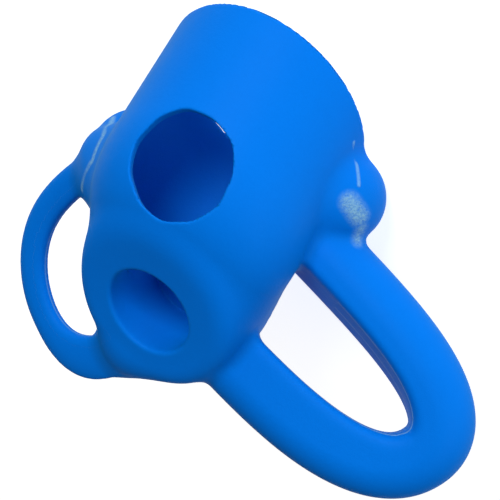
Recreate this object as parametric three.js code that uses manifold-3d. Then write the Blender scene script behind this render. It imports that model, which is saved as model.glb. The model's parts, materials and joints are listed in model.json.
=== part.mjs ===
// A soft one-piece moulding: a leaning, domed cup with a round hole in its front wall, a thick
// round-lipped spout on its domed end and two D-shaped finger loops growing from its sides.
// Millimetres, +Z up. The cup stands on its mouth, the spout points up, the front faces -Y.

import * as THREE from 'three';
import { mergeVertices } from 'three/addons/utils/BufferGeometryUtils.js';
import Module from 'manifold-3d';

// ---- Driving dimensions, in millimetres and degrees ----

const SEAM = 0.3; // clear gap between neighbouring regions of the moulding

const cup = {
  height: 47.5, // from the level that the other heights are measured from
  below: 1.7, // how far the mouth lies under that level
  radius: 29,
  mouthY: -15.5, // the mouth's centre; the cup leans back from it
  topY: 5, // the centre of the domed end
  shoulderRadius: 20,
  wall: 3,
};

const spout = {
  y: 15.5, // where its axis meets the level of the cup's top
  tilt: 15, // leans its mouth towards the front
  outerRadius: 20.5,
  boreRadius: 11.5,
  rise: 4, // lip above the cup's top
  lipRadius: 4.5,
  skirt: 12, // how far the collar runs down over the dome
};

const sideHole = { height: 24, radius: 13.2, tilt: 29 };

// Each loop's centre line is a D between two points in the cup's wall: the mouth end near the
// rim and the spout end beside the spout. Sweep turns it from sideways to the back.
const broadLoop = {
  side: -1,
  mouthEnd: [23.5, 4, 16],
  spoutEnd: [3, 23, 40],
  sweep: 22,
  rise: 0.14, // vertical part of the way it points
  reach: 63.5, // farthest distance from the line between its ends
  spread: 0.93, // exponents of the D: along the line between the ends, and away from it
  fullness: 0.53,
  depth: 9.1, // half thickness in the loop's plane
  width: 8.5, // half thickness across it
  flexAt: [0.1, 0.89], // where the flex line crosses it, as shares of its length
  lobe: { center: [24.5, -4, 6.5], radii: [14.5, 13.5, 12.5] },
};

const slimLoop = {
  side: 1,
  mouthEnd: [30, -2, 25.5],
  spoutEnd: [0.6, 25, 45.5],
  sweep: 50,
  rise: 0.33,
  reach: 41,
  spread: 0.99,
  fullness: 0.53,
  depth: 4.8,
  width: 2.3,
  flexAt: [0.1, 0.8],
  lobe: { center: [31, -2, 18.5], radii: [7, 4, 10] },
};

const flex = {
  knuckle: 1.1, // knuckle radius over the bar's half width
  swing: 20, // free angle each way
};

const SILICONE = { color: 0x0369e4, roughness: 0.55, metalness: 0 };
const TURN = 96; // facets round the cup and the spout
const ARM_FACETS = 14; // curve segments of each half of a loop's section
const ARM_STEPS = 48;
const FAR = 200; // beyond every surface of the part

// ---- Solids ----

const wasm = await Module();
wasm.setup();

const radians = THREE.MathUtils.degToRad;

function toSolid(geometry) {
  const plain = geometry.clone();
  plain.deleteAttribute('normal');
  plain.deleteAttribute('uv');
  const welded = mergeVertices(plain, 1e-4);
  return new wasm.Manifold(new wasm.Mesh({
    numProp: 3,
    vertProperties: new Float32Array(welded.attributes.position.array),
    triVerts: new Uint32Array(welded.index.array),
  }));
}

function toMesh(name, solid) {
  const { vertProperties, triVerts } = solid.getMesh();
  const geometry = new THREE.BufferGeometry();
  geometry.setAttribute('position', new THREE.BufferAttribute(new Float32Array(vertProperties), 3));
  geometry.setIndex(new THREE.BufferAttribute(new Uint32Array(triVerts), 1));
  geometry.computeVertexNormals();
  const mesh = new THREE.Mesh(geometry, new THREE.MeshStandardMaterial(SILICONE));
  mesh.name = name;
  return mesh;
}

function turned(profile) {
  return new THREE.LatheGeometry(profile, TURN).rotateX(Math.PI / 2);
}

function arc(cx, cy, radius, from, to, steps = 10) {
  return Array.from({ length: steps + 1 }, (_, i) => {
    const angle = radians(from + ((to - from) * i) / steps);
    return new THREE.Vector2(cx + radius * Math.cos(angle), cy + radius * Math.sin(angle));
  });
}

// ---- Cup ----

const lean = (cup.topY - cup.mouthY) / cup.height;

// The cup's filled outer shape, moved outwards by grow, or inwards when that is negative.
function cupBody(grow) {
  const bottom = -cup.below - Math.abs(grow);
  const radius = cup.radius + grow;
  const top = cup.height + grow;
  const round = cup.shoulderRadius + grow;
  const profile = [
    new THREE.Vector2(0, bottom),
    new THREE.Vector2(radius, bottom),
    ...arc(radius - round, top - round, round, 0, 90),
    new THREE.Vector2(0, top),
  ];
  const shear = new THREE.Matrix4().makeShear(0, 0, 0, 0, 0, lean);
  return toSolid(turned(profile).applyMatrix4(shear).translate(0, cup.mouthY, 0));
}

// ---- Spout and side hole ----

function ontoSpout(geometry) {
  return geometry.rotateX(radians(spout.tilt)).translate(0, spout.y, cup.height);
}

function spoutCore(radius, bottom, top) {
  const core = new THREE.CylinderGeometry(radius, radius, top - bottom, TURN)
    .rotateX(Math.PI / 2)
    .translate(0, 0, (bottom + top) / 2);
  return toSolid(ontoSpout(core));
}

const bore = spoutCore(spout.boreRadius, -2 * spout.skirt, 2 * spout.rise);

function collar(grow) {
  const { outerRadius: outer, boreRadius, lipRadius: lip, rise } = spout;
  const foot = -spout.skirt - grow;
  return toSolid(ontoSpout(turned([
    new THREE.Vector2(0, foot),
    new THREE.Vector2(outer + grow, foot),
    ...arc(outer - lip, rise - lip, lip + grow, 0, 90),
    ...arc(boreRadius + lip, rise - lip, lip + grow, 90, 180),
    new THREE.Vector2(0, rise - lip),
  ])));
}

function sideHoleCore() {
  const { height, radius, tilt } = sideHole;
  const core = new THREE.CylinderGeometry(radius, radius, FAR, TURN)
    .translate(0, -FAR / 2, 0)
    .rotateX(-radians(tilt))
    .translate(0, cup.mouthY + lean * height, height);
  return toSolid(core);
}

// ---- Finger loops ----

// D-shaped line drawn in its own plane: x is the way the loop points.
class LoopLine extends THREE.Curve {
  constructor(chordX, chordZ, dims) {
    super();
    Object.assign(this, { chordX, chordZ, dims });
  }

  getPoint(t, target = new THREE.Vector3()) {
    const { spread, fullness, reach } = this.dims;
    const cosine = Math.cos(Math.PI * t);
    const along = (1 - Math.sign(cosine) * Math.abs(cosine) ** spread) / 2;
    const out = reach * Math.max(0, Math.sin(Math.PI * t)) ** fullness;
    return target.set(this.chordX * along + out, 0, this.chordZ * along);
  }
}

// Everything that a loop's pieces are cut from: its centre line, its plane and its flex line.
function loopLayout(dims) {
  const mirrored = ([x, y, z]) => new THREE.Vector3(dims.side * x, y, z);
  const start = mirrored(dims.mouthEnd);
  const chord = mirrored(dims.spoutEnd).sub(start);
  const sweep = radians(dims.sweep);
  const pointing = mirrored([Math.cos(sweep), Math.sin(sweep), dims.rise]).normalize();
  const normal = chord.clone().cross(pointing).normalize();
  const inPlane = pointing.clone().cross(normal);
  const plane = new THREE.Matrix4().makeBasis(pointing, normal, inPlane).setPosition(start);
  const line = new LoopLine(chord.dot(pointing), chord.dot(inPlane), dims);
  const mouthKnuckle = line.getPointAt(dims.flexAt[0]).applyMatrix4(plane);
  const spoutKnuckle = line.getPointAt(dims.flexAt[1]).applyMatrix4(plane);
  const hinge = spoutKnuckle.clone().sub(mouthKnuckle).normalize();
  const sideways = hinge.clone().cross(pointing).normalize();
  const outward = sideways.clone().cross(hinge);
  const flexFrame = new THREE.Matrix4()
    .makeBasis(outward, sideways, hinge)
    .setPosition(mouthKnuckle.clone().lerp(spoutKnuckle, 1 / 2));
  return { dims, plane, line, flexFrame };
}

// The loop's bent bar, thickened by grow and flexed by an angle about its flex line.
function loopBar({ dims, plane, line, flexFrame }, grow = 0, angle = 0) {
  const section = new THREE.Shape()
    .absellipse(0, 0, dims.width + grow, dims.depth + grow, 0, 2 * Math.PI);
  const bar = new THREE.ExtrudeGeometry(section, {
    steps: ARM_STEPS,
    curveSegments: ARM_FACETS,
    bevelEnabled: false,
    extrudePath: line,
  });
  const turn = new THREE.Matrix4().makeRotationZ(radians(angle));
  return toSolid(bar
    .applyMatrix4(plane)
    .applyMatrix4(flexFrame.clone().invert())
    .applyMatrix4(turn)
    .applyMatrix4(flexFrame));
}

// The cup's side of the flex line, with a round knuckle about it: the half nearer the mouth for
// half = -1 and the half nearer the spout for half = 1.
function rootRegion({ dims, flexFrame }, half, grow) {
  const middle = (half * FAR) / 2;
  const block = new THREE.BoxGeometry(FAR, FAR, FAR)
    .translate(grow - FAR / 2, 0, middle)
    .applyMatrix4(flexFrame);
  const radius = dims.width * flex.knuckle + grow;
  const knuckle = new THREE.CylinderGeometry(radius, radius, FAR, 2 * ARM_FACETS)
    .rotateX(Math.PI / 2)
    .translate(0, 0, middle)
    .applyMatrix4(flexFrame);
  return toSolid(block).add(toSolid(knuckle));
}

function cutFree(layout, solid) {
  return solid
    .subtract(rootRegion(layout, -1, SEAM / 2))
    .subtract(rootRegion(layout, 1, SEAM / 2));
}

// The space that the flexing loop passes through.
function sweptLoop(layout) {
  const steps = 4;
  let swept = loopBar(layout, SEAM);
  for (let i = 1; i <= steps; i += 1) {
    const angle = (flex.swing * i) / steps;
    swept = swept.add(loopBar(layout, SEAM, angle)).add(loopBar(layout, SEAM, -angle));
  }
  return cutFree(layout, swept);
}

function rootLobe({ dims }) {
  const { center: [x, y, z], radii } = dims.lobe;
  return toSolid(new THREE.SphereGeometry(1, 2 * ARM_FACETS, ARM_FACETS)
    .scale(...radii)
    .translate(dims.side * x, y, z));
}

function box(low, high) {
  const size = high.clone().sub(low);
  const middle = low.clone().lerp(high, 1 / 2);
  return toSolid(new THREE.BoxGeometry(...size).translate(...middle));
}

const underFloor = box(new THREE.Vector3(-FAR, -FAR, -FAR), new THREE.Vector3(FAR, FAR, -cup.below));
const midStrip = box(new THREE.Vector3(-SEAM / 2, -FAR, -FAR), new THREE.Vector3(SEAM / 2, FAR, FAR));

// Without the slivers that a cut leaves beside the body.
function largest(solid) {
  return solid.decompose().sort((a, b) => b.volume() - a.volume())[0];
}

// ---- Pieces ----

function cupWall() {
  return cupBody(0)
    .subtract(cupBody(-cup.wall))
    .subtract(bore)
    .subtract(sideHoleCore());
}

function spoutCollar() {
  return collar(0).subtract(bore).subtract(cupBody(SEAM)).subtract(sideHoleCore());
}

function root(layout, solid) {
  const cut = solid
    .subtract(cupBody(SEAM))
    .subtract(collar(SEAM))
    .subtract(sweptLoop(layout))
    .subtract(underFloor)
    .subtract(midStrip);
  return largest(cut);
}

// ---- Assembly ----

const group = new THREE.Group();
group.name = 'looped_spout_cup';

group.add(toMesh('cup_wall', cupWall()));
group.add(toMesh('spout_collar', spoutCollar()));

for (const [name, dims] of [['broad', broadLoop], ['slim', slimLoop]]) {
  const layout = loopLayout(dims);
  const bar = loopBar(layout);
  const mouthRoot = bar.intersect(rootRegion(layout, -1, -SEAM / 2)).add(rootLobe(layout));
  const spoutRoot = bar.intersect(rootRegion(layout, 1, -SEAM / 2));
  group.add(toMesh(`${name}_finger_loop`, cutFree(layout, bar)));
  group.add(toMesh(`${name}_mouth_root`, root(layout, mouthRoot)));
  group.add(toMesh(`${name}_spout_root`, root(layout, spoutRoot)));
}

const middle = new THREE.Box3().setFromObject(group).getCenter(new THREE.Vector3());
group.position.set(-middle.x, -middle.y, cup.below); // stands the part over its origin

export default group;
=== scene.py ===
"""A soft one-piece silicone moulding: a leaning cup with a side hole, a round-lipped spout and two
finger loops that flex at their roots. The smooth silicone stands for all the CAD nodes."""
import json

import bpy
import numpy as np
from mathutils import Matrix, Vector


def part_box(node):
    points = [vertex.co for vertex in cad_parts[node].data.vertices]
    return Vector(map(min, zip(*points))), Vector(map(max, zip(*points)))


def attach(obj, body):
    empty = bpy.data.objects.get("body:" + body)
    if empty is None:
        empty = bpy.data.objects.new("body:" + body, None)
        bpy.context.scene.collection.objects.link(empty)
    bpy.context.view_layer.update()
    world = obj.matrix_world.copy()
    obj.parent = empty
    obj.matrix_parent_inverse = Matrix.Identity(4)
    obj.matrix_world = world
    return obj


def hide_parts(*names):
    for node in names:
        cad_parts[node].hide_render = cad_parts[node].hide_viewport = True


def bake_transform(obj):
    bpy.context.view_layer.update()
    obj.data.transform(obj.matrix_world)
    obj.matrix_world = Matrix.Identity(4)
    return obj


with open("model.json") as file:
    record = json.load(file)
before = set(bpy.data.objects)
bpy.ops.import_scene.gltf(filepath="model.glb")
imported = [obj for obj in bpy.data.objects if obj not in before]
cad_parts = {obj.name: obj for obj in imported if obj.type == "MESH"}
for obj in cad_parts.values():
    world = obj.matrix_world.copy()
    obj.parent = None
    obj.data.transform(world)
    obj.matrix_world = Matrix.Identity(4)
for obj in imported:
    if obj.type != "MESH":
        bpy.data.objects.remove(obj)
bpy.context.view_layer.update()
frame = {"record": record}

# ---- Dimensions, in millimetres and degrees, about the cup's own origin ----

CELL = 0.65  # mesh pitch
REGION = np.array([[-83.5, -47.0, -3.0], [53.5, 53.0, 59.0]])  # the box that is meshed
FILLET = 3.0  # where a loop or a lobe grows out of the cup
EDGE = 0.5  # radius of the cut edges
BORE_EDGE = 1.2

CUP = dict(height=47.4, below=1.7, radius=28.98, mouth_y=-15.58, top_y=5.17, shoulder=20.4,
           wall=3.0, bead=2.2, bead_height=6.0)
LEAN = (CUP["top_y"] - CUP["mouth_y"]) / CUP["height"]
SLANT = 1 / np.sqrt(1 + (0.5 * LEAN) ** 2)  # turns a level distance into one square to the wall
SPOUT = dict(y=15.41, tilt=15.4, radius=22.7, bore=11.9, rise=3.67, lip=5.2, below=15.0, fillet=7.5)
HOLE = dict(z=24.1, radius=13.25, tilt=29.4)
HOLE_WAVES = ((0.14, 5, 0.7), (0.08, 11, 2.1))  # height, count and phase of the ripples in its edge

# The CAD cup's sizes. Its box, from the mouth's front edge to the rounded top, tells where the
# frame puts the cup's origin.
CAD_CUP = dict(height=47.5, radius=29.0, mouth_y=-15.5, top_y=5.0)


def smin(a, b, k):
    """The smaller of two distances, with a fillet of size k where they meet."""
    h = np.clip(0.5 + 0.5 * (b - a) / k, 0, 1)
    return b * (1 - h) + a * h - k * h * (1 - h)


def smax(a, b, k):
    return -smin(-a, -b, k)


def smooth_step(t):
    t = np.clip(t, 0, 1)
    return t * t * (3 - 2 * t)


def unit(v):
    v = np.asarray(v, float)
    return v / np.linalg.norm(v)


def cup_shift():
    """The move from the cup's own origin to the frame's origin."""
    low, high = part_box("cup_wall")
    lean = (CAD_CUP["top_y"] - CAD_CUP["mouth_y"]) / CAD_CUP["height"]
    front = CAD_CUP["mouth_y"] - CUP["below"] * lean - CAD_CUP["radius"]
    return np.array([(low[0] + high[0]) / 2 * 1000,
                     low[1] * 1000 - front,
                     high[2] * 1000 - CAD_CUP["height"]])


SHIFT = cup_shift()


# ---- Finger loops ----

class Loop:
    """A D-shaped loop: a centre line in a plane of its own, and a section about that line."""

    MARGIN = 12.0  # how far from the loop its distance is still worked out
    FAR = 40.0
    STEPS = 110

    def __init__(self, **dims):
        vars(self).update(dims)
        mirror = np.array([self.side, 1, 1])
        self.origin = np.array(self.start) * mirror
        chord = np.array(self.end) * mirror - self.origin
        turn = np.radians(self.sweep)
        self.pointing = unit([self.side * np.cos(turn), np.sin(turn), self.rise])
        self.normal = unit(np.cross(chord, self.pointing))
        self.sideways = np.cross(self.pointing, self.normal)
        self.line = self.centre_line(chord @ self.pointing, chord @ self.sideways)
        self.lobe_centre = np.array(self.lobe[0]) * mirror
        self.web_centres = [np.array(middle) * mirror for middle, _, _ in self.webs]

    def centre_line(self, chord_out, chord_side):
        t = np.linspace(0, np.pi, self.STEPS + 1)
        c = np.cos(t)
        along = (1 - np.sign(c) * np.abs(c) ** self.spread) / 2
        bulge = self.reach * np.clip(np.sin(t), 0, 1) ** self.fullness
        return np.stack([chord_out * along + bulge, chord_side * along], 1)

    def turning(self):
        """1 if the inside of the loop is on the left of its line, or -1."""
        first, last, middle = self.line[0], self.line[-1], self.line[self.STEPS // 2]
        leg, inward = self.line[1] - first, (first + last + middle) / 3 - first
        return np.sign(leg[0] * inward[1] - leg[1] * inward[0])

    def coordinates(self, points):
        """Inwards from the centre line, across the loop's plane, and the place along it, 0 to 1."""
        q = points - self.origin
        x, z = q @ self.pointing, q @ self.sideways
        best = np.full(len(points), 1e9)
        signed, place = np.zeros(len(points)), np.zeros(len(points))
        for i, (a, b) in enumerate(zip(self.line[:-1], self.line[1:])):
            d = b - a
            dx, dz = x - a[0], z - a[1]
            t = np.clip((dx * d[0] + dz * d[1]) / (d @ d), 0, 1)
            ex, ez = dx - t * d[0], dz - t * d[1]
            gap = ex * ex + ez * ez
            near = gap < best
            best = np.where(near, gap, best)
            signed = np.where(near, d[0] * dz - d[1] * dx, signed)
            place = np.where(near, i + t, place)
        inward = np.sqrt(best) * np.where(signed < 0, -1, 1) * self.turning()
        return inward, q @ self.normal, place / self.STEPS

    def section(self, inward, height, place):
        """0 at the loop's surface, -1 on its centre line. The outside is domed. The inner wall is
        flat, and twists from facing one side on the first arm to the other side on the second."""
        twist = self.twist * np.cos(np.pi * place) * smooth_step(inward / 6)
        p = self.flatness
        flat = np.maximum(inward + twist * height, 0) / self.inner
        flat = (flat ** p + np.abs(height / self.width) ** p) ** (1 / p)
        swell = 1 + self.swell * smooth_step((place - 0.55) / 0.3)
        domed = np.hypot(inward / (self.depth * swell), height / self.width)
        return np.where(inward > 0, flat, domed) - 1

    def distance(self, points):
        q = points - self.origin
        x, z, height = q @ self.pointing, q @ self.sideways, q @ self.normal
        reach = self.depth + self.MARGIN
        low, high = self.line.min(0) - reach, self.line.max(0) + reach
        near = (x > low[0]) & (x < high[0]) & (z > low[1]) & (z < high[1])
        near &= np.abs(height) < self.width + self.MARGIN
        distance = np.full(len(points), self.FAR)
        if near.any():
            distance[near] = self.section(*self.coordinates(points[near])) * min(self.width, self.depth)
        return distance

    def lobe_distance(self, points):
        radii = self.lobe[1]
        return (np.linalg.norm((points - self.lobe_centre) / radii, axis=1) - 1) * min(radii)

    def fillet(self, points):
        """The fillet where the loop meets the cup, wider about each web."""
        total = FILLET
        for centre, (_, size, fill) in zip(self.web_centres, self.webs):
            apart = np.linalg.norm(points - centre, axis=1) / size
            total = total + fill * np.exp(-apart ** 2)
        return total


# bend: where the bending starts and ends, out from the line through the loop's two roots.
# lobe: centre and radii. webs: centre, size and fill of each.
BROAD = Loop(side=-1, start=(23.32, 3.93, 15.8), end=(2.85, 23.14, 39.75), sweep=22.1, rise=0.14,
             reach=63.3, spread=0.93, fullness=0.53, depth=9.13, width=8.54, inner=7.6,
             flatness=4.5, twist=0.5, swell=0, bend=(3.0, 15.0),
             lobe=((24.3, -3.8, 6.4), (14.7, 13.4, 12.4)), webs=())
SLIM = Loop(side=1, start=(29.9, -1.84, 25.5), end=(0.6, 24.96, 45.35), sweep=50.15, rise=0.33,
            reach=40.5, spread=0.99, fullness=0.53, depth=4.3, width=2.2, inner=4.3,
            flatness=3.0, twist=0, swell=0.75, bend=(1.5, 9.0),
            lobe=((30.9, -1.9, 18.3), (6.95, 3.93, 9.8)),
            webs=(((33.0, 1.0, 29.0), 13.0, 16.0), ((12.0, 40.0, 51.0), 12.0, 10.0)))
LOOPS = {"broad": BROAD, "slim": SLIM}


# ---- The silicone's surface, as a signed distance ----

def spout_coordinates(x, y, z):
    """Height along the spout's axis and distance from it."""
    tilt = np.radians(SPOUT["tilt"])
    y, z = y - SPOUT["y"], z - CUP["height"]
    height = -y * np.sin(tilt) + z * np.cos(tilt)
    return height, np.hypot(x, y * np.cos(tilt) + z * np.sin(tilt))


def hole_distance(x, y, z):
    """Distance to the side hole's core, its edge slightly rippled."""
    tilt = np.radians(HOLE["tilt"])
    y, z = y - CUP["mouth_y"] - LEAN * HOLE["z"], z - HOLE["z"]
    out = -y * np.cos(tilt) + z * np.sin(tilt)
    up = y * np.sin(tilt) + z * np.cos(tilt)
    round_it = np.arctan2(up, x)
    ripple = sum(high * np.sin(count * round_it + phase) for high, count, phase in HOLE_WAVES)
    return np.maximum(np.hypot(x, up) - HOLE["radius"] - ripple, -out)


def silicone_block(points):
    x, y, z = points.T
    above = z - CUP["height"]
    share = np.clip(z / CUP["height"], -0.8, 1.2)
    from_axis = np.hypot(x, y - CUP["mouth_y"] - share * LEAN * CUP["height"])
    side = (from_axis - CUP["radius"]) * SLANT
    d = smax(side, above, CUP["shoulder"])

    height, radius = spout_coordinates(x, y, z)
    foot = -height - SPOUT["below"]
    spout = smax(radius - SPOUT["radius"], height - SPOUT["rise"], SPOUT["lip"])
    d = smin(d, np.maximum(spout, foot), SPOUT["fillet"])
    for loop in LOOPS.values():
        d = smin(d, loop.distance(points), loop.fillet(points))
        d = smin(d, loop.lobe_distance(points), FILLET)

    from_mouth = (z + CUP["below"]) / CUP["bead_height"]
    wall = CUP["wall"] + CUP["bead"] * np.exp(-from_mouth ** 2)
    inside = smax(side + wall * SLANT, above + CUP["wall"], 0.8 * CUP["shoulder"])
    d = smax(d, -z - CUP["below"], EDGE)
    d = smax(d, -inside, EDGE)
    d = smax(d, -np.maximum(radius - SPOUT["bore"], foot), BORE_EDGE)
    return smax(d, -hole_distance(x, y, z), EDGE)


def silicone(points, block=40000):
    """Signed distance to the moulding's surface."""
    starts = range(0, len(points), block)
    return np.concatenate([silicone_block(points[i:i + block]) for i in starts])


def gradient(points, step=0.25):
    g = np.empty_like(points)
    for k, axis in enumerate(np.eye(3) * step):
        g[:, k] = (silicone(points + axis) - silicone(points - axis)) / (2 * step)
    return g


# ---- Surface nets over the cells near the surface ----

def sample_field(low, high, cell, block=4):
    """The distance on a grid, exact near the surface and only its sign elsewhere."""
    count = np.ceil((high - low) / cell / block).astype(int)
    centres = [low[k] + (np.arange(count[k]) + 0.5) * block * cell for k in range(3)]
    grid = np.stack(np.meshgrid(*centres, indexing="ij"), -1).reshape(-1, 3)
    coarse = silicone(grid).reshape(count)

    def spread(values, **how):
        return np.pad(values.repeat(block, 0).repeat(block, 1).repeat(block, 2), ((0, 1),) * 3, **how)

    field = spread(coarse, mode="edge")
    wanted = spread(np.abs(coarse) < block * cell * 1.3)
    for k in range(3):
        wanted |= np.roll(wanted, 1, k)
    field[wanted] = silicone(low + np.argwhere(wanted) * cell)
    return field


def crossed_cells(inside):
    """The cells that the surface passes through, and their numbers on the grid."""
    shape = np.array(inside.shape) - 1
    total = sum(inside[i:shape[0] + i, j:shape[1] + j, k:shape[2] + k].astype(np.int8)
                for i in (0, 1) for j in (0, 1) for k in (0, 1))
    cells = np.argwhere((total > 0) & (total < 8))
    number = np.full(shape, -1)
    number[tuple(cells.T)] = np.arange(len(cells))
    return cells, number


def cell_points(field, cells):
    """In each cell, the mean of the places where the surface crosses the cell's edges."""
    point, weight = np.zeros((len(cells), 3)), np.zeros(len(cells))
    corners = np.array([(i, j, k) for i in (0, 1) for j in (0, 1) for k in (0, 1)])
    for a in corners:
        for k in np.flatnonzero(a == 0):
            b = a.copy()
            b[k] = 1
            va, vb = field[tuple((cells + a).T)], field[tuple((cells + b).T)]
            cross = (va < 0) != (vb < 0)
            t = np.where(cross, va / np.where(cross, va - vb, 1), 0)
            point += (a + t[:, None] * (b - a)) * cross[:, None]
            weight += cross
    return cells + point / weight[:, None]


def cell_quads(inside, number):
    """A quad across each grid edge that the surface crosses, through the edge's four cells."""
    quads = []
    for k in range(3):
        i, j = (k + 1) % 3, (k + 2) % 3
        a, b = (inside.take(range(start, inside.shape[k] - 1 + start), k) for start in (0, 1))
        edges = np.argwhere(a != b)
        kept = np.all([(edges[:, n] > 0) & (edges[:, n] < number.shape[n]) for n in (i, j)], 0)
        edges = edges[kept]
        ring = []
        for di, dj in ((-1, -1), (0, -1), (0, 0), (-1, 0)):
            cell = edges.copy()
            cell[:, i] += di
            cell[:, j] += dj
            ring.append(number[tuple(cell.T)])
        quad = np.stack(ring, 1)
        flip = ~a[tuple(edges.T)]
        quad[flip] = quad[flip][:, ::-1]
        quads.append(quad)
    return np.concatenate(quads)


def snapped(verts, cell, rounds=3, most=0.6):
    """The vertices moved onto the surface, each by at most a share of a cell."""
    start = verts
    for _ in range(rounds):
        g = gradient(verts)
        verts = verts - (silicone(verts) / np.maximum((g * g).sum(1), 0.05))[:, None] * g
        verts = start + np.clip(verts - start, -most * cell, most * cell)
    return verts


def surface(low, high, cell):
    field = sample_field(low, high, cell)
    cells, number = crossed_cells(field < 0)
    verts = low + cell_points(field, cells) * cell
    return snapped(verts, cell), cell_quads(field < 0, number)


verts, quads = surface(*REGION, CELL)
normals = gradient(verts, 0.4)
normals /= np.linalg.norm(normals, axis=1)[:, None]


# ---- Marks of moulding and trimming, and a painted highlight along the cup's lip, as distances in millimetres kept on the mesh ----

OFF = 9.0  # far from any mark


def from_path(*corners):
    """Each vertex's distance from a path of straight legs."""
    legs = []
    for a, b in zip(corners[:-1], corners[1:]):
        a, b = np.array(a), np.array(b)
        t = np.clip((verts - a) @ (b - a) / ((b - a) @ (b - a)), 0, 1)
        legs.append(np.linalg.norm(verts - a - t[:, None] * (b - a), axis=1))
    return np.min(legs, axis=0)


def wall_line(loop, at):
    """Signed distance across the loop's inner wall from a line that runs along it."""
    inward, across, place = loop.coordinates(verts)
    on_wall = (inward > 1.5) & (inward < 1.3 * loop.depth) & (place > 0.03) & (place < 0.97)
    return np.where(on_wall, across - at, OFF)


MARKS = dict(
    parting=wall_line(BROAD, 0.8),
    ridge=wall_line(BROAD, 6.3),
    band=wall_line(SLIM, 0.0),
    scuff=np.minimum(from_path((-33.9, -11.6, 12.6), (-36.4, -7.4, 12.0)) - 1.4,
                     from_path((-37.3, -3.9, 12.2), (-37.0, -0.2, 13.2)) - 0.4),
    flash=from_path((35.4, -4.9, 16.8), (30.9, -9.3, 26.2), (29.9, -6.2, 32.4), (32.1, 3.8, 35.3)),
    # Painted highlight: a thin light line where the cup's rim meets the lobe, standing in for the lit
    # edge of the lip.
    lip_highlight=from_path((-28.3, -20.8, 2.6), (-30.7, -15.9, 4.7), (-33.7, -13.9, 8.4)),
)


# ---- Pieces ----

def link(name, data):
    obj = bpy.data.objects.new(name, data)
    bpy.context.scene.collection.objects.link(obj)
    return obj


def piece(name, faces):
    used, index = np.unique(faces, return_inverse=True)
    mesh = bpy.data.meshes.new(name)
    mesh.from_pydata(((verts[used] + SHIFT) / 1000).tolist(), [], index.reshape(-1, 4).tolist())
    mesh.polygons.foreach_set("use_smooth", [True] * len(mesh.polygons))
    mesh.normals_split_custom_set_from_vertices(normals[used].tolist())
    for mark, values in MARKS.items():
        attribute = mesh.attributes.new(mark, "FLOAT", "POINT")
        attribute.data.foreach_set("value", values[used].astype(np.float32))
    return link(name, mesh)


joints = {joint["name"]: joint for joint in frame["record"]["behaviour"]["joints"]}
centres = verts[quads].mean(1)
owner = np.zeros(len(quads), int)  # 0 for the body, then 1 and 2 for the loops
for number, (name, loop) in enumerate(LOOPS.items(), 1):
    joint = joints[f"{name}_flex"]
    hinge, origin = unit(joint["axis"]), np.array(joint["pos_m"]) * 1000 - SHIFT
    outward = unit(loop.pointing - (loop.pointing @ hinge) * hinge)
    owner[(centres - origin) @ outward > loop.bend[0] - CELL] = number

body = piece("silicone_body", quads[owner == 0])
broad = piece("broad_loop_silicone", quads[owner == 1])
slim = piece("slim_loop_silicone", quads[owner == 2])

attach(body, "cup_body")
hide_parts("cup_wall", "spout_collar", "broad_mouth_root", "broad_spout_root",
            "slim_mouth_root", "slim_spout_root")
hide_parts("broad_finger_loop")
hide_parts("slim_finger_loop")
for obj, name in ((broad, "broad"), (slim, "slim")):
    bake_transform(obj)


# ---- Silicone ----

BLUE, DEEP_BLUE = (0.0, 0.155, 0.65, 1), (0.0, 0.124, 0.56, 1)
EDGE_SHADE_TEAL = (0.0, 0.175, 0.46, 1)  # painted shade: a darker, greener colour mixed in where the surface turns away from the camera
PALE_WEAR_AND_HIGHLIGHT = (0.20, 0.42, 0.62, 1)  # scuffed or trimmed, and a painted highlight along the cup's lip


class Nodes:
    """A material's node tree, built from short calls."""

    def __init__(self, name):
        self.material = bpy.data.materials.new(name)
        self.material.use_nodes = True
        self.tree = self.material.node_tree
        self.shader = self.tree.nodes["Principled BSDF"]

    def put(self, socket, value):
        if isinstance(value, bpy.types.NodeSocket):
            self.tree.links.new(value, socket)
        else:
            socket.default_value = value

    def finish(self, **inputs):
        """Sets the shader's inputs, with _ for a space in their names."""
        for key, value in inputs.items():
            self.put(self.shader.inputs[key.replace("_", " ")], value)

    def add(self, kind, settings=None, **inputs):
        node = self.tree.nodes.new(kind)
        for key, value in (settings or {}).items():
            setattr(node, key, value)
        for key, value in inputs.items():
            self.put(node.inputs[key.replace("_", " ")], value)
        return node

    def math(self, operation, a, b=0.0):
        node = self.add("ShaderNodeMath", {"operation": operation})
        self.put(node.inputs[0], a)
        self.put(node.inputs[1], b)
        return node.outputs[0]

    def times(self, a, b):
        return self.math("MULTIPLY", a, b)

    def total(self, first, *others):
        for other in others:
            first = self.math("ADD", first, other)
        return first

    def most(self, first, *others):
        for other in others:
            first = self.math("MAXIMUM", first, other)
        return first

    def mark(self, name, near, far, signed=False):
        """1 within near of the named mark, falling to 0 at far."""
        at = self.add("ShaderNodeAttribute", {"attribute_name": name}).outputs["Fac"]
        if signed:
            at = self.math("ABSOLUTE", at)
        ramp = self.add("ShaderNodeMapRange", {"interpolation_type": "SMOOTHSTEP"}, Value=at,
                        From_Min=near, From_Max=far, To_Min=1.0, To_Max=0.0)
        return ramp.outputs[0]

    def noise(self, scale, detail=3.0, rough=0.55):
        place = self.add("ShaderNodeTexCoord").outputs["Object"]
        noise = self.add("ShaderNodeTexNoise", Vector=place, Scale=scale, Detail=detail,
                         Roughness=rough)
        return noise.outputs["Fac"]

    def mix(self, share, a, b):
        node = self.add("ShaderNodeMix", {"data_type": "RGBA"})
        for socket, value in ((0, share), (6, a), (7, b)):
            self.put(node.inputs[socket], value)
        return node.outputs[2]


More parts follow.
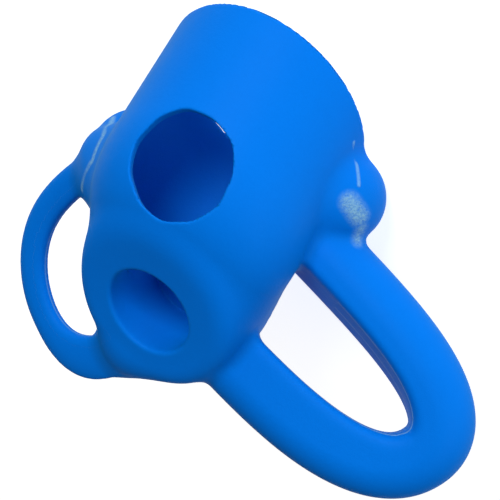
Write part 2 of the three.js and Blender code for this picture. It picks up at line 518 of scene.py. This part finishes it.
def silicone_material(name):
    n = Nodes(name)
    grain = n.noise(2600.0, 2.0)
    cloud = n.total(n.times(n.noise(38.0), 0.5), n.times(grain, 0.45))
    # Painted shade: the base colour turns darker and greener towards edges that turn away from the
    # camera.
    painted_edge_shade = n.add("ShaderNodeLayerWeight", Blend=0.32).outputs["Facing"]
    painted_edge_shade = n.times(n.math("POWER", painted_edge_shade, 2.2), 0.9)
    colour = n.mix(painted_edge_shade, n.mix(cloud, BLUE, DEEP_BLUE), EDGE_SHADE_TEAL)

    # Whitish, fuzzy where flash was trimmed, and fine lines where the mould's halves met, with a
    # painted highlight line along the cup's lip.
    streaks = n.noise(1500.0, 5.0, 0.75)
    patchy = n.times(n.math("SUBTRACT", streaks, 0.26), 3.2)
    worn = n.times(n.mark("scuff", -1.0, 2.4), patchy)
    edge = n.times(n.mark("flash", 0.15, 1.3), n.times(patchy, 0.9))
    seams_and_highlight = n.most(n.mark("parting", 0.1, 0.4, True), n.mark("ridge", 0.1, 0.4, True),
                   n.times(n.mark("band", 0.1, 0.35, True), 0.6), n.mark("lip_highlight", 0.15, 0.7))
    seams_and_highlight = n.times(seams_and_highlight, 0.55)
    worn_and_highlight = n.most(n.math("MINIMUM", n.most(worn, edge, seams_and_highlight), 0.95), 0.0)

    roughness = n.total(n.times(n.noise(160.0), 0.16), 0.42, n.times(worn_and_highlight, 0.3))
    height = n.total(n.times(n.noise(900.0, 5.0, 0.65), 0.16), n.times(n.noise(55.0), 0.35),
                     n.times(grain, 0.10), n.times(seams_and_highlight, 0.35),
                     n.times(worn_and_highlight, n.times(streaks, 0.8)))
    bump = n.add("ShaderNodeBump", Height=height, Strength=0.55, Distance=0.0006)
    n.finish(Base_Color=n.mix(worn_and_highlight, colour, PALE_WEAR_AND_HIGHLIGHT), Roughness=roughness, Specular_IOR_Level=0.3,
             IOR=1.12, Normal=bump.outputs[0])
    return n.material


silicone_blue = silicone_material("silicone_blue")
for obj in (body, broad, slim):
    obj.data.materials.append(silicone_blue)


# ---- Floor and light ----

FLOOR = 3.0  # half its side, in metres
AIM = (0, 0, 0.03)

floor_mesh = bpy.data.meshes.new("floor")
floor_mesh.from_pydata([(x * FLOOR, y * FLOOR, 0) for x, y in ((-1, -1), (1, -1), (1, 1), (-1, 1))],
                       [], [(0, 1, 2, 3)])
floor = link("floor", floor_mesh)
paper = Nodes("paper")
paper.finish(Base_Color=(0.8, 0.8, 0.8, 1), Roughness=0.9, Emission_Color=(1, 1, 1, 1),
             Emission_Strength=0.75)
floor_mesh.materials.append(paper.material)

world = bpy.data.worlds.new("studio")
bpy.context.scene.world = world
world.use_nodes = True
background = world.node_tree.nodes["Background"]
background.inputs["Color"].default_value = (1, 1, 1, 1)
background.inputs["Strength"].default_value = 0.2


def softbox(name, place, size, power):
    light = bpy.data.lights.new(name, "AREA")
    light.shape, light.size, light.energy = "SQUARE", size, power
    obj = link(name, light)
    obj.location = place
    obj.rotation_euler = (Vector(AIM) - Vector(place)).to_track_quat("-Z", "Y").to_euler()


softbox("key", (0.06, -0.76, 0.36), 0.35, 5.6)
softbox("side", (-0.75, -0.25, 0.35), 0.4, 2.0)


# ---- Camera, rolled far over because the part is seen spout down ----

AZIMUTH, ELEVATION, ROLL = np.radians((-27.55, 31.96, -137.44))
DISTANCE = 0.48894  # metres, from a point on the cup's axis
AXIS_HEIGHT = 0.0275
OFFSET = (0.01203, -0.00906)  # from that point to the picture's centre: right and up
LENS, SENSOR = 140.8, 36.0

away = np.array([np.sin(AZIMUTH) * np.cos(ELEVATION), -np.cos(AZIMUTH) * np.cos(ELEVATION),
                 np.sin(ELEVATION)])
level = np.array([np.cos(AZIMUTH), np.sin(AZIMUTH), 0])
upright = np.cross(away, level)
right = level * np.cos(ROLL) + upright * np.sin(ROLL)
up = upright * np.cos(ROLL) - level * np.sin(ROLL)
target = np.array([0, 0, AXIS_HEIGHT]) + SHIFT / 1000
eye = target + away * DISTANCE
back = unit(eye - (target + OFFSET[0] * right + OFFSET[1] * up))
right = unit(right - (right @ back) * back)
up = np.cross(back, right)

camera_data = bpy.data.cameras.new("camera")
camera_data.lens, camera_data.sensor_width = LENS, SENSOR
camera_data.clip_start, camera_data.clip_end = 0.01, 20
camera = link("camera", camera_data)
pose = np.eye(4)
pose[:3, 0], pose[:3, 1], pose[:3, 2], pose[:3, 3] = right, up, back, eye
camera.matrix_world = Matrix(pose.tolist())
bpy.context.scene.camera = camera
bpy.context.scene.view_settings.view_transform = "Standard"
